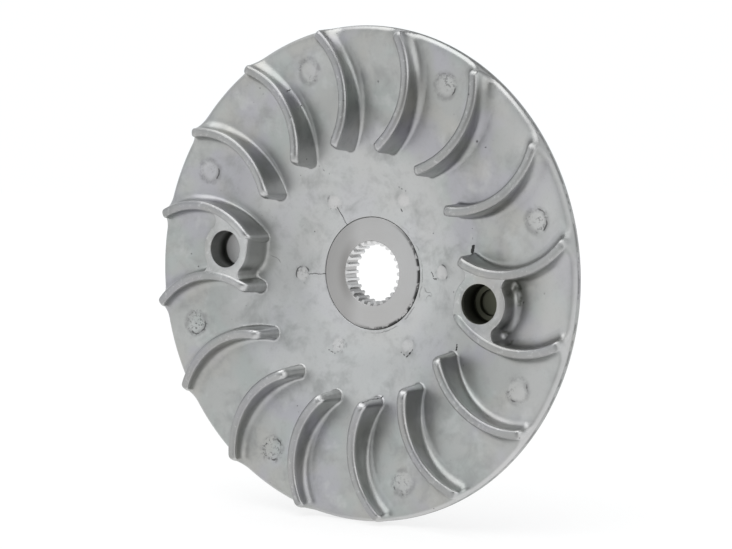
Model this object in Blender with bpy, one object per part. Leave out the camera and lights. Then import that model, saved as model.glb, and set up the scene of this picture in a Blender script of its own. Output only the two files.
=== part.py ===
"""Fan-side drive face of a scooter's belt variator: a die-cast disc round a splined steel hub.

Metres, +Z up. The bore axis lies along Y, the fan side faces -Y and the belt side faces +Y.
The origin is on the bore axis, in the plane of the hub's belt-side face.
Both pieces are modelled lying down, with the bore along their own Z and the fan side up,
and an empty stands them upright.
"""
import math

import bmesh
import bpy
from mathutils import Matrix, Vector

# Disc
RIM_RADIUS = 0.0625
RIM_THICKNESS = 0.0028
RIM_ROUND = 0.0006
RIM_CHAMFER = 0.0004
HUB_THICKNESS = 0.0054
DISH_DEPTH = 0.0082
DISH_CURVE = 1.4

# Fan blades: each spine is an arc whose chord lies on a radius and which bulges clockwise;
# it runs on past its chord by a share of itself, and the blade is trimmed there along the rim
BLADE_COUNT = 16
BLADE_TURN = math.radians(7.3)
BLADE_RIM_GAP = 0.0029
BLADE_LENGTH = 0.0266
BLADE_BULGE = 0.0045
BLADE_RUN_ON = 0.047
BLADE_END_GAP = 0.0010
BLADE_RISE = 0.0039
CREST_WIDTH = 0.0026
CREST_ROUND = 0.0007
CAST_DRAFT = math.radians(3.0)
INNER_FILLET = 0.0007
OUTER_FILLET = 0.0015
BLADE_LAND = 0.0002

# Bosses with blind tool holes, in two opposite blade channels; the first hole has a stepped floor
HOLE_INSET = 0.0058
BOSS_BITE = 0.00073
BOSS_WALL = 0.0022
BOSS_DROP = 0.0004
BOSS_HOLLOW = 0.0022
BOSS_FILLET = 0.0009
HOLE_DEPTH = 0.0062
STEP_LEDGE = 0.0015
STEP_DEPTH = 0.0014

# Steel hub, held by a many-sided collar inside the casting
SPLINE_MAJOR_RADIUS = 0.00825
SPLINE_TEETH = 26
TOOTH_HEIGHT = 0.0008
TOOTH_TIP_SHARE = 0.34
TOOTH_GAP_SHARE = 0.42
BORE_CHAMFER = 0.0006
HUB_WALL = 0.00615
COLLAR_REACH = 0.0026
COLLAR_COVER = 0.0017
COLLAR_SIDES = 12
CAST_GAP = 0.0003

# Metal of the disc beyond the collar, on its fan side and its belt side
FAN_FLAT_MARGIN = 0.0025
BELT_FLAT_MARGIN = 0.0020

# Facets
DISC_SEGMENTS = 96
HUB_SEGMENTS = 52
HOLE_SEGMENTS = 28
DISH_STEPS = 9
SPINE_STEPS = 8
END_STEPS = 3
ARC_STEPS = 6
SMOOTH_ANGLE = math.radians(30.0)

# A foot is carried this far into the web, and a cutter this far past a face;
# a foot settles on the sloping floor in a few passes
SINK = 0.00015
OVERRUN = 0.001
FOOT_PASSES = 3

# Heights above the hub's belt-side face
RIM_TOP = HUB_THICKNESS + DISH_DEPTH
RIM_BELT = RIM_TOP - RIM_THICKNESS
CREST_TOP = RIM_TOP + BLADE_RISE
BOSS_TOP = CREST_TOP - BOSS_DROP

# Radii of the hub and of the flats round it
SPLINE_MINOR_RADIUS = SPLINE_MAJOR_RADIUS - TOOTH_HEIGHT
HUB_RADIUS = SPLINE_MAJOR_RADIUS + HUB_WALL
COLLAR_RADIUS = HUB_RADIUS + COLLAR_REACH
FAN_FLAT_RADIUS = COLLAR_RADIUS + FAN_FLAT_MARGIN
BELT_FLAT_RADIUS = COLLAR_RADIUS + BELT_FLAT_MARGIN
FLOOR_RADIUS = RIM_RADIUS - RIM_ROUND

# Blade layout
BLADE_PITCH = 2.0 * math.pi / BLADE_COUNT
BLADE_OUTER_RADIUS = RIM_RADIUS - BLADE_RIM_GAP
BLADE_INNER_RADIUS = BLADE_OUTER_RADIUS - BLADE_LENGTH
HALF_CHORD = BLADE_LENGTH / 2.0
MID_CHORD = (BLADE_OUTER_RADIUS + BLADE_INNER_RADIUS) / 2.0
SPINE_RADIUS = (HALF_CHORD**2 + BLADE_BULGE**2) / (2.0 * BLADE_BULGE)
SPINE_HALF_ANGLE = math.asin(HALF_CHORD / SPINE_RADIUS)
QUARTER_TURN = math.pi / 2.0

# A boss fills the gap between two blades and bites into both
HOLE_CIRCLE_RADIUS = BLADE_INNER_RADIUS + HOLE_INSET
HALF_GAP = HOLE_CIRCLE_RADIUS * math.sin(BLADE_PITCH / 2.0) - CREST_WIDTH / 2.0
BOSS_RADIUS = HALF_GAP + BOSS_BITE
HOLE_RADIUS = BOSS_RADIUS - BOSS_WALL
STEP_RADIUS = HOLE_RADIUS - STEP_LEDGE

# A quarter round drawn as two flats: its middle corner as a share of the radius,
# and the run of the flatter side for each unit of drop
ROUND_MIDDLE = 1.0 - math.sqrt(0.5)
FLAT_RUN = math.sqrt(0.5) / ROUND_MIDDLE


def clear_scene():
    for item in list(bpy.data.objects):
        bpy.data.objects.remove(item, do_unlink=True)


def material(name, colour, metallic, roughness):
    made = bpy.data.materials.new(name)
    made.use_nodes = True
    shader = made.node_tree.nodes["Principled BSDF"]
    shader.inputs["Base Color"].default_value = (*colour, 1.0)
    shader.inputs["Metallic"].default_value = metallic
    shader.inputs["Roughness"].default_value = roughness
    return made


def new_object(name, bm):
    """Object from a bmesh, with its faces turned outwards and its round faces shaded smooth."""
    bmesh.ops.recalc_face_normals(bm, faces=bm.faces)
    mesh = bpy.data.meshes.new(name)
    bm.to_mesh(mesh)
    bm.free()
    mesh.shade_smooth()
    mesh.set_sharp_from_angle(angle=SMOOTH_ANGLE)
    made = bpy.data.objects.new(name, mesh)
    bpy.context.collection.objects.link(made)
    return made


def combine(target, tool, operation):
    """Boolean of the target with a tool that stays in the file as a hidden guide."""
    modifier = target.modifiers.new(tool.name, "BOOLEAN")
    modifier.object = tool
    modifier.operation = operation
    modifier.solver = "EXACT"
    tool.hide_render = True
    tool.display_type = "WIRE"
    tool.parent = target


# Plane geometry, seen from the fan side


def polar(radius, angle):
    return Vector((radius * math.cos(angle), radius * math.sin(angle)))


def circle(radius, segments, centre=Vector((0.0, 0.0))):
    return [centre + polar(radius, 2.0 * math.pi * i / segments) for i in range(segments)]


def arc(centre, start, end, steps):
    """Points from start to end, the short way round a centre."""
    first = start - centre
    last = end - centre
    swing = math.atan2(first.cross(last), first.dot(last))
    return [centre + Matrix.Rotation(swing * i / steps, 2) @ first for i in range(steps + 1)]


def crossings(centre_a, radius_a, centre_b, radius_b):
    """The two points that lie on both circles, the one nearer the bore first."""
    line = centre_b - centre_a
    along = (radius_a**2 - radius_b**2 + line.length_squared) / (2.0 * line.length)
    across = math.sqrt(radius_a**2 - along**2)
    middle = centre_a + line.normalized() * along
    side = line.normalized().orthogonal() * across
    return sorted((middle + side, middle - side), key=lambda point: point.length)


def outward_normals(outline):
    """Direction away from a counter-clockwise outline at each of its points."""
    normals = []
    for i, point in enumerate(outline):
        before = (point - outline[i - 1]).normalized()
        after = (outline[(i + 1) % len(outline)] - point).normalized()
        along = (before + after).normalized()
        normals.append(Vector((along.y, -along.x)))
    return normals


# Solids


def add_loft(bm, rings, cap):
    """Closed body through rings of equal count, with the first and last closed by cap(bm, row)."""
    rows = [[bm.verts.new(point) for point in ring] for ring in rings]
    for row, following in zip(rows, rows[1:]):
        for i in range(len(row)):
            j = (i + 1) % len(row)
            bm.faces.new((row[i], row[j], following[j], following[i]))
    cap(bm, rows[0])
    cap(bm, rows[-1])


def cap_flat(bm, row):
    bm.faces.new(row)


def cap_across(bm, row):
    """Close a long ring, whose first and middle points are its two tips, from side to side."""
    for i in range(len(row) // 2):
        corners = (row[i], row[i + 1], row[-i - 1], row[-i])
        bm.faces.new(list(dict.fromkeys(corners)))


def at_height(outline, height):
    return [(point.x, point.y, height) for point in outline]


def prism(name, outline, low, high):
    bm = bmesh.new()
    add_loft(bm, [at_height(outline, low), at_height(outline, high)], cap_flat)
    return new_object(name, bm)


def cone(name, low_radius, low, high_radius, high):
    bm = bmesh.new()
    rings = [
        at_height(circle(low_radius, HUB_SEGMENTS), low),
        at_height(circle(high_radius, HUB_SEGMENTS), high),
    ]
    add_loft(bm, rings, cap_flat)
    return new_object(name, bm)


def turned(name, profile, segments):
    """Closed outline of (radius, height) points turned round Z."""
    bm = bmesh.new()
    verts = [bm.verts.new((radius, 0.0, height)) for radius, height in profile]
    edges = [bm.edges.new(pair) for pair in zip(verts, verts[1:] + verts[:1])]
    bmesh.ops.spin(
        bm,
        geom=verts + edges,
        cent=(0.0, 0.0, 0.0),
        axis=(0.0, 0.0, 1.0),
        angle=2.0 * math.pi,
        steps=segments,
        use_merge=True,
    )
    return new_object(name, bm)


# Disc


def floor_height(radius):
    """Height of the fan-side floor: flat round the hub, then rising ever more gently to the rim."""
    share = (FLOOR_RADIUS - radius) / (FLOOR_RADIUS - FAN_FLAT_RADIUS)
    return RIM_TOP - DISH_DEPTH * min(max(share, 0.0), 1.0) ** DISH_CURVE


def disc_profile():
    """Section of the disc, from the bore along the belt side, round the rim and back over the fan side."""
    bore = HUB_RADIUS + CAST_GAP
    middle = ROUND_MIDDLE * RIM_ROUND
    profile = [
        (bore, 0.0),
        (BELT_FLAT_RADIUS, 0.0),
        (RIM_RADIUS - RIM_CHAMFER, RIM_BELT),
        (RIM_RADIUS, RIM_BELT + RIM_CHAMFER),
        (RIM_RADIUS, RIM_TOP - RIM_ROUND),
        (RIM_RADIUS - middle, RIM_TOP - middle),
    ]
    for i in range(DISH_STEPS + 1):
        radius = FLOOR_RADIUS + (FAN_FLAT_RADIUS - FLOOR_RADIUS) * i / DISH_STEPS
        profile.append((radius, floor_height(radius)))
    profile.append((bore, HUB_THICKNESS))
    return profile


# Blades and bosses


def spine_centre(chord_angle):
    """Centre of a blade's spine arc, on its counter-clockwise side."""
    across = polar(SPINE_RADIUS - BLADE_BULGE, chord_angle + QUARTER_TURN)
    return polar(MID_CHORD, chord_angle) + across


def spine_at(chord_angle, share):
    """Point, outward tangent and clockwise normal of a spine, from 0 at its inner end to 1 at its outer."""
    swing = (2.0 * share - 1.0) * SPINE_HALF_ANGLE
    tangent = polar(1.0, chord_angle + swing)
    normal = polar(1.0, chord_angle + swing - QUARTER_TURN)
    return spine_centre(chord_angle) + normal * SPINE_RADIUS, tangent, normal


def blade_side(chord_angle, side):
    """Shares of the spine and outward directions down one side of a blade, from inner to outer tip."""
    stations = []
    point, tangent, normal = spine_at(chord_angle, 0.0)
    for i in range(END_STEPS):
        turn = QUARTER_TURN * i / END_STEPS
        stations.append((0.0, normal * side * math.sin(turn) - tangent * math.cos(turn)))
    for i in range(SPINE_STEPS + 1):
        share = (1.0 + BLADE_RUN_ON) * i / SPINE_STEPS
        point, tangent, normal = spine_at(chord_angle, share)
        stations.append((share, normal * side))
    for i in range(1, END_STEPS + 1):
        turn = QUARTER_TURN * i / END_STEPS
        stations.append((share, normal * side * math.cos(turn) + tangent * math.sin(turn)))
    return stations


def foot_steps(point, direction, top, start, fillet):
    """Offsets and heights down a drafted wall, from its top edge to a filleted foot sunk under the floor."""
    wall = start
    for _ in range(FOOT_PASSES):
        base = floor_height((point + direction * (wall + fillet)).length)
        wall = start + math.tan(CAST_DRAFT) * (top - base - fillet)
    return (
        (wall, base + fillet),
        (wall + ROUND_MIDDLE * fillet, base + ROUND_MIDDLE * fillet),
        (wall + fillet + FLAT_RUN * SINK, base - SINK),
    )


def blade_rings(chord_angle):
    """Rings round one blade, from the flat of its rounded crest down to its sunk foot."""
    half = CREST_WIDTH / 2.0
    shoulder = CREST_TOP - CREST_ROUND
    crest = (
        (half - CREST_ROUND, CREST_TOP),
        (half - ROUND_MIDDLE * CREST_ROUND, CREST_TOP - ROUND_MIDDLE * CREST_ROUND),
        (half, shoulder),
    )
    columns = []
    for share, direction in blade_side(chord_angle, 1.0) + blade_side(chord_angle, -1.0)[-2:0:-1]:
        point = spine_at(chord_angle, share)[0]
        fillet = INNER_FILLET + (OUTER_FILLET - INNER_FILLET) * share
        column = []
        for offset, height in crest + foot_steps(point, direction, shoulder, half, fillet):
            place = point + direction * offset
            trim = min(RIM_RADIUS - BLADE_END_GAP + offset - half, FLOOR_RADIUS - BLADE_LAND)
            place *= min(1.0, trim / place.length)
            column.append((place.x, place.y, height))
        columns.append(column)
    return list(zip(*columns))


def make_blades():
    bm = bmesh.new()
    for i in range(BLADE_COUNT):
        add_loft(bm, blade_rings(BLADE_TURN + i * BLADE_PITCH), cap_across)
    return new_object("blades", bm)


def hole_centre(chord_angle):
    """Middle of the tool hole: half-way between a blade's spine and the next one clockwise."""
    points = crossings(Vector((0.0, 0.0)), HOLE_CIRCLE_RADIUS, spine_centre(chord_angle), SPINE_RADIUS)
    on_spine = min(points, key=lambda point: point.angle(polar(1.0, chord_angle)))
    return Matrix.Rotation(-BLADE_PITCH / 2.0, 2) @ on_spine


def boss_outline(chord_angle):
    """Outline of a boss in the channel clockwise of a blade: round about its hole, with hollow arcs
    running on to both blades outwards and to the first blade inwards, and a straight wall running
    to the second blade's inner end."""
    second_angle = chord_angle - BLADE_PITCH
    hole = hole_centre(chord_angle)
    first, second = spine_centre(chord_angle), spine_centre(second_angle)
    edge = CREST_WIDTH / 2.0 - ROUND_MIDDLE * CREST_ROUND
    reach = BOSS_RADIUS + BOSS_HOLLOW
    inner, outer = crossings(hole, reach, first, SPINE_RADIUS + edge + BOSS_HOLLOW)
    outer_second = crossings(hole, reach, second, SPINE_RADIUS - edge - BOSS_HOLLOW)[1]

    def hollow(middle, spine):
        """Points from the round of the boss to a blade, round the middle of a hollow arc."""
        from_boss = middle + (hole - middle).normalized() * BOSS_HOLLOW
        side = 1.0 if (middle - spine).length < SPINE_RADIUS else -1.0
        to_blade = middle + (middle - spine).normalized() * side * BOSS_HOLLOW
        return arc(middle, from_boss, to_blade, ARC_STEPS)

    def on_spine(point, spine):
        return spine + (point - spine).normalized() * SPINE_RADIUS

    end = spine_at(second_angle, 0.0)[0]
    line = end - hole
    lean = (BOSS_RADIUS - edge) / line.length
    across = Vector((line.y, -line.x)).normalized()
    across *= -math.copysign(math.sqrt(1.0 - lean**2), across.dot(hole))
    wall = line.normalized() * lean + across

    near_second = hollow(outer_second, second)[::-1]
    near_first = hollow(outer, first)
    back_from_first = hollow(inner, first)[::-1]
    outline = near_second
    outline += arc(hole, near_second[-1], near_first[0], ARC_STEPS)[1:-1]
    outline += near_first
    outline += arc(first, on_spine(near_first[-1], first), on_spine(back_from_first[0], first), ARC_STEPS)
    outline += back_from_first
    outline += arc(hole, back_from_first[-1], hole + wall * BOSS_RADIUS, ARC_STEPS)[1:]
    outline.append(end + wall * edge)
    outline += arc(second, end, on_spine(near_second[0], second), ARC_STEPS)
    return outline


def make_boss(name, chord_angle):
    outline = boss_outline(chord_angle)
    normals = outward_normals(outline)
    columns = []
    for point, normal in zip(outline, normals):
        column = [(point.x, point.y, BOSS_TOP)]
        for offset, height in foot_steps(point, normal, BOSS_TOP, 0.0, BOSS_FILLET):
            place = point + normal * offset
            column.append((place.x, place.y, height))
        columns.append(column)
    rings = list(zip(*columns))
    lowest = min(z for x, y, z in rings[-1])
    rings.append([(x, y, lowest) for x, y, z in rings[-1]])
    bm = bmesh.new()
    add_loft(bm, rings, cap_flat)
    return new_object(name, bm)


# Pieces


def collar_outline(clearance):
    radius = COLLAR_RADIUS + clearance / math.cos(math.pi / COLLAR_SIDES)
    return circle(radius, COLLAR_SIDES)


def collar(name, clearance):
    low = COLLAR_COVER - clearance
    return prism(name, collar_outline(clearance), low, HUB_THICKNESS - low)


def spline_outline():
    """Bore outline: a tooth tip, then the gap to the next tooth, all the way round."""
    pitch = 2.0 * math.pi / SPLINE_TEETH
    outline = []
    for i in range(SPLINE_TEETH):
        tip, gap = i * pitch, (i + 0.5) * pitch
        outline.append(polar(SPLINE_MINOR_RADIUS, tip - TOOTH_TIP_SHARE * pitch / 2.0))
        outline.append(polar(SPLINE_MINOR_RADIUS, tip + TOOTH_TIP_SHARE * pitch / 2.0))
        outline.append(polar(SPLINE_MAJOR_RADIUS, gap - TOOTH_GAP_SHARE * pitch / 2.0))
        outline.append(polar(SPLINE_MAJOR_RADIUS, gap + TOOTH_GAP_SHARE * pitch / 2.0))
    return outline


def make_fan_disc(metal):
    disc = turned("fan_disc", disc_profile(), DISC_SEGMENTS)
    disc.data.materials.append(metal)
    combine(disc, make_blades(), "UNION")
    opposite = BLADE_COUNT // 2 * BLADE_PITCH
    for name, turn in (("first", 0.0), ("second", opposite)):
        chord_angle = BLADE_TURN + turn
        hole = circle(HOLE_RADIUS, HOLE_SEGMENTS, hole_centre(chord_angle))
        drill = prism(name + "_hole", hole, BOSS_TOP - HOLE_DEPTH, CREST_TOP + OVERRUN)
        combine(disc, make_boss(name + "_boss", chord_angle), "UNION")
        combine(disc, drill, "DIFFERENCE")
    step = circle(STEP_RADIUS, HOLE_SEGMENTS, hole_centre(BLADE_TURN))
    step_floor = BOSS_TOP - HOLE_DEPTH - STEP_DEPTH
    combine(disc, prism("hole_step", step, step_floor, BOSS_TOP), "DIFFERENCE")
    combine(disc, collar("collar_pocket", CAST_GAP), "DIFFERENCE")
    return disc


def make_splined_hub(metal):
    hub = prism("splined_hub", circle(HUB_RADIUS, HUB_SEGMENTS), 0.0, HUB_THICKNESS)
    hub.data.materials.append(metal)
    combine(hub, collar("hub_collar", 0.0), "UNION")
    spline = prism("spline", spline_outline(), -OVERRUN, HUB_THICKNESS + OVERRUN)
    combine(hub, spline, "DIFFERENCE")
    mouth = SPLINE_MAJOR_RADIUS + BORE_CHAMFER + OVERRUN
    throat = SPLINE_MINOR_RADIUS
    depth = mouth - throat - OVERRUN
    fan_mouth = cone("fan_mouth", throat, HUB_THICKNESS - depth, mouth, HUB_THICKNESS + OVERRUN)
    belt_mouth = cone("belt_mouth", mouth, -OVERRUN, throat, depth)
    combine(hub, fan_mouth, "DIFFERENCE")
    combine(hub, belt_mouth, "DIFFERENCE")
    return hub


def main():
    clear_scene()
    upright = bpy.data.objects.new("drive_face", None)
    bpy.context.collection.objects.link(upright)
    upright.rotation_euler = (QUARTER_TURN, 0.0, 0.0)
    cast_aluminium = material("cast_aluminium", (0.52, 0.53, 0.53), 0.85, 0.5)
    machined_steel = material("machined_steel", (0.42, 0.42, 0.42), 0.95, 0.35)
    for piece in (make_fan_disc(cast_aluminium), make_splined_hub(machined_steel)):
        piece.parent = upright


main()
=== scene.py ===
import math

import bmesh
import bpy
from mathutils import Matrix, Vector


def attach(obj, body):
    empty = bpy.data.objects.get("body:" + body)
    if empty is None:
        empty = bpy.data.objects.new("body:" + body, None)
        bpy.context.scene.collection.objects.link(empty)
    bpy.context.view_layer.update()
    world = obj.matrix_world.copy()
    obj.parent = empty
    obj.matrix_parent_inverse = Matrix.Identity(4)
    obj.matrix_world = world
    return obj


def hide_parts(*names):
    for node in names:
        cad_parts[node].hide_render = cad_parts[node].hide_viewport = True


# Looks of a variator's drive face: a die-cast fan disc round a splined steel hub.
# Both pieces are shaped lying down, with the bore along Z and the fan side up,
# and are then stood upright, with the bore along Y and the fan side towards -Y.

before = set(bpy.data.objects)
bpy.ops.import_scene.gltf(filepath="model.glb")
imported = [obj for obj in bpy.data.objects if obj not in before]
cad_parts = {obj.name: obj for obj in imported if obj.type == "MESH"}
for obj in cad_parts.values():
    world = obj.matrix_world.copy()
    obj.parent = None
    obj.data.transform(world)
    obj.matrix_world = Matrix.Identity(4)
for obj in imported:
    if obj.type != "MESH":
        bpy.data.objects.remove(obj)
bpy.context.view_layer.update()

# Sizes that the finished pieces share with the solid part, in metres

RIM_RADIUS = 0.0625
RIM_THICKNESS = 0.0028
RIM_CHAMFER = 0.0004
HUB_THICKNESS = 0.0054
DISH_DEPTH = 0.0082
DISH_CURVE = 1.4

BLADE_COUNT = 16
BLADE_TURN = math.radians(7.3)
BLADE_RIM_GAP = 0.0029
BLADE_LENGTH = 0.0266
BLADE_BULGE = 0.0045
BLADE_RISE = 0.0039
CREST_WIDTH = 0.0026
CAST_DRAFT = math.radians(3.0)
INNER_FILLET = 0.0007

BOSS_COUNT = 2
HOLE_INSET = 0.0058
BOSS_BITE = 0.00073
BOSS_WALL = 0.0022
BOSS_DROP = 0.0004
BOSS_HOLLOW = 0.0022
HOLE_DEPTH = 0.0062
STEP_LEDGE = 0.0015
STEP_DEPTH = 0.0014

SPLINE_MAJOR_RADIUS = 0.00825
SPLINE_TEETH = 26
TOOTH_HEIGHT = 0.0008
TOOTH_TIP_SHARE = 0.34
TOOTH_GAP_SHARE = 0.42
HUB_WALL = 0.00615
COLLAR_REACH = 0.0026
COLLAR_COVER = 0.0017
COLLAR_SIDES = 12
COLLAR_GAP = 0.0003
FAN_FLAT_MARGIN = 0.0025
BELT_FLAT_MARGIN = 0.0020

# Finer shape that only the finished pieces have

RIM_ROUND = 0.0014
FLAT_EASE = 0.12
FLARE_START = 0.08
FLARE_CURVE = 0.9
OUTER_FILLET = 0.0031
CREST_ROUND = 0.00115
CREST_END_WIDTH = 0.0023
CREST_END_ROUND = 0.0008
BLADE_REACH = 1.066
BLADE_END_GAP = 0.0002
INNER_DROOP = 0.0030
OUTER_DROOP = 0.0020
BOSS_FILLET = 0.0016
BORE_CHAMFER = 0.00014
STATION_EASE = 1.6
JOINT_GAP = 0.00007
JOINT_ROUND = 0.00022
TURNED_ROUND = 0.00015
BOSS_ROUND = 0.0003
HOLE_ROUND = 0.00025
TOOTH_ROUND = 0.00012
TOOTH_ROOT = 0.0002
TOOTH_DROP = 0.00004
TOOTH_END_SLOPE = 0.2
FOOT_DIVE = math.radians(10.0)
BLADE_FOOT = 0.0006
BOSS_FOOT = 0.0003
FLARE_KNEE = 0.3

# Overrun of the cutters, the distance at which points merge, and the tilt that tells a belt-side face

OVERRUN = 0.001
MERGE_DISTANCE = 1e-7
BELT_FACE_TILT = -0.3

# Round marks of the pusher pins, and the side of the hub, in radians, where dirt collects

OUTER_MARKS = 8
OUTER_MARK_TURN = math.radians(15.5)
OUTER_MARK_CIRCLE = 0.0535
OUTER_MARK_RADIUS = 0.0029
INNER_MARKS = 6
INNER_MARK_TURN = math.radians(2.0)
INNER_MARK_CIRCLE = 0.0213
INNER_MARK_RADIUS = 0.0019
DIRTY_SIDE = -0.45

# Counts of facets and passes, and the widest angle that is shaded smooth

DISC_SEGMENTS = 320
FLOOR_STEPS = 56
HUB_SEGMENTS = 208
HOLE_SEGMENTS = 96
SPINE_STEPS = 64
END_STEPS = 14
CREST_STEPS = 6
WALL_STEPS = 3
FILLET_STEPS = 7
BOSS_STEPS = 14
ROUND_STEPS = 5
SETTLE_PASSES = 5
SMOOTH_ANGLE = math.radians(32.0)

# Camera, in degrees, metres and millimetres

CAMERA_AZIMUTH = 33.681
CAMERA_ELEVATION = 2.974
CAMERA_DISTANCE = 0.45222
CAMERA_SHIFT_RIGHT = 0.0030865
CAMERA_SHIFT_UP = 0.0000535
CAMERA_LENS_MM = 88.28
CAMERA_SENSOR_MM = 36.0
CAMERA_CLIP = (0.01, 100.0)

# Floor that the part stands on, and the lamps.
# Each lamp has a name, azimuth, elevation, distance, width, height and brightness.

STAGE_RADIUS = 12.0
STAGE_SEGMENTS = 96
LAMPS = (
    ("left_key", -30.0, 4.0, 0.50, 0.20, 0.20, 0.30),
    ("right_softbox", 66.0, 14.0, 1.0, 0.9, 0.8, 1.3),
    ("top_softbox", 0.0, 74.0, 1.0, 1.3, 1.3, 1.7),
)

# Sizes that follow from the others

RIM_TOP = HUB_THICKNESS + DISH_DEPTH
RIM_BELT = RIM_TOP - RIM_THICKNESS
CREST_TOP = RIM_TOP + BLADE_RISE
BOSS_TOP = CREST_TOP - BOSS_DROP
SPLINE_MINOR_RADIUS = SPLINE_MAJOR_RADIUS - TOOTH_HEIGHT
HUB_RADIUS = SPLINE_MAJOR_RADIUS + HUB_WALL
COLLAR_RADIUS = HUB_RADIUS + COLLAR_REACH
FAN_FLAT_RADIUS = COLLAR_RADIUS + FAN_FLAT_MARGIN
BELT_FLAT_RADIUS = COLLAR_RADIUS + BELT_FLAT_MARGIN
FLOOR_RADIUS = RIM_RADIUS - RIM_ROUND
CAST_BORE_RADIUS = HUB_RADIUS + JOINT_GAP
FULL_TURN = 2.0 * math.pi
QUARTER_TURN = math.pi / 2.0
BLADE_PITCH = FULL_TURN / BLADE_COUNT
BLADE_OUTER_RADIUS = RIM_RADIUS - BLADE_RIM_GAP
BLADE_INNER_RADIUS = BLADE_OUTER_RADIUS - BLADE_LENGTH
HALF_CHORD = BLADE_LENGTH / 2.0
MID_CHORD = (BLADE_OUTER_RADIUS + BLADE_INNER_RADIUS) / 2.0
SPINE_RADIUS = (HALF_CHORD**2 + BLADE_BULGE**2) / (2.0 * BLADE_BULGE)
SPINE_HALF_ANGLE = math.asin(HALF_CHORD / SPINE_RADIUS)
HOLE_CIRCLE_RADIUS = BLADE_INNER_RADIUS + HOLE_INSET
HALF_GAP = HOLE_CIRCLE_RADIUS * math.sin(BLADE_PITCH / 2.0) - CREST_WIDTH / 2.0
BOSS_RADIUS = HALF_GAP + BOSS_BITE
HOLE_RADIUS = BOSS_RADIUS - BOSS_WALL
STEP_RADIUS = HOLE_RADIUS - STEP_LEDGE
HOLE_FLOOR = BOSS_TOP - HOLE_DEPTH

# Chips and short cracks on the fan side, then painted shade in the right boss's corners.
# Each is a line between two X, Z points, with a half width.

CHIPS = (
    ((0.0317, 0.0065), (0.0320, 0.0075), 0.00055),
    ((0.0319, 0.0070), (0.0318, 0.0121), 0.00009),
    ((0.0271, -0.0178), (0.0273, -0.0165), 0.0002),
    ((0.0055, -0.0309), (0.0044, -0.0319), 0.00016),
    ((-0.0203, 0.0466), (-0.0200, 0.0470), 0.00016),
    ((-0.0143, 0.0274), (-0.0117, 0.0254), 0.00007),
    ((0.0181, 0.0008), (0.0187, -0.0001), 0.00015),
    ((0.0187, -0.0006), (0.0196, -0.0009), 0.00012),
    ((0.0091, 0.0163), (0.0091, 0.0157), 0.00012),
    ((0.0093, -0.0199), (0.0114, -0.0206), 0.00012),
    ((0.0114, -0.0206), (0.0129, -0.0190), 0.0002),
    ((-0.0125, -0.0202), (-0.0108, -0.0211), 0.00013),
    ((0.0089, 0.0221), (0.0112, 0.0212), 0.0001),
)
BOSS_CORNER_SHADE = (
    ((0.0460, -0.0005), (0.0452, -0.0036), 0.0003),
    ((0.0463, -0.0016), (0.0466, -0.0022), 0.0005),
    ((0.0469, -0.0046), (0.0469, -0.0058), 0.0004),
    ((0.0425, -0.0126), (0.0438, -0.0130), 0.0004),
    ((0.0446, -0.0148), (0.0450, -0.0154), 0.0003),
)

# Numbers of the colour sockets on a Mix node

MIX_FACTOR = 0
MIX_FIRST = 6
MIX_SECOND = 7
MIX_RESULT = 2


class Wire:
    """A socket of a node tree: arithmetic on it adds Math nodes, and add() makes any other node."""

    def __init__(self, tree, socket=None):
        self.tree = tree
        self.socket = socket

    def add(self, kind, settings=None, inputs=None, output=0):
        """New node: its settings first, then the values or links of its inputs, each by name or number."""
        node = self.tree.nodes.new(kind)
        for name, value in (settings or {}).items():
            setattr(node, name, value)
        for name, value in (inputs or {}).items():
            for one in value if isinstance(value, list) else [value]:
                if isinstance(one, Wire):
                    self.tree.links.new(one.socket, node.inputs[name])
                else:
                    node.inputs[name].default_value = one
        return Wire(self.tree, node.outputs[output])

    def into(self, socket):
        self.tree.links.new(self.socket, socket)

    def math(self, operation, *others):
        """Math node of this value and any others."""
        return self.add("ShaderNodeMath", {"operation": operation}, dict(enumerate((self, *others))))

    def __add__(self, other):
        return self.math("ADD", other)

    def __sub__(self, other):
        return self.math("SUBTRACT", other)

    def __rsub__(self, other):
        return self.add("ShaderNodeMath", {"operation": "SUBTRACT"}, {0: other, 1: self})

    def __mul__(self, other):
        return self.math("MULTIPLY", other)

    def __truediv__(self, other):
        return self.math("DIVIDE", other)

    def __lt__(self, other):
        return self.math("LESS_THAN", other)

    def __abs__(self):
        return self.math("ABSOLUTE")

    __radd__ = __add__
    __rmul__ = __mul__

    def ramp(self, low, high, at_low=0.0, at_high=1.0):
        """Smooth step between two values of this one."""
        inputs = {"Value": self, "From Min": low, "From Max": high, "To Min": at_low, "To Max": at_high}
        return self.add("ShaderNodeMapRange", {"interpolation_type": "SMOOTHSTEP"}, inputs)

    def part(self, axis):
        return self.add("ShaderNodeSeparateXYZ", None, {0: self}, axis)

    def noise(self, scale, detail=2.0, roughness=0.5, output="Factor"):
        inputs = {"Vector": self, "Scale": scale, "Detail": detail, "Roughness": roughness}
        return self.add("ShaderNodeTexNoise", None, inputs, 0 if output == "Factor" else 1)

    def blend(self, first, second):
        """Colour that goes from the first to the second as this value goes from 0 to 1."""
        inputs = {MIX_FACTOR: self, MIX_FIRST: first, MIX_SECOND: second}
        return self.add("ShaderNodeMix", {"data_type": "RGBA"}, inputs, MIX_RESULT)


# Plane geometry, seen from the fan side


def polar(radius, angle):
    return Vector((radius * math.cos(angle), radius * math.sin(angle)))


def circle(radius, segments):
    return [polar(radius, FULL_TURN * i / segments) for i in range(segments)]


def arc(centre, start, end, steps):
    """Points from start to end, the short way round a centre."""
    first = start - centre
    last = end - centre
    swing = math.atan2(first.cross(last), first.dot(last))
    return [centre + Matrix.Rotation(swing * i / steps, 2) @ first for i in range(steps + 1)]


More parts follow.
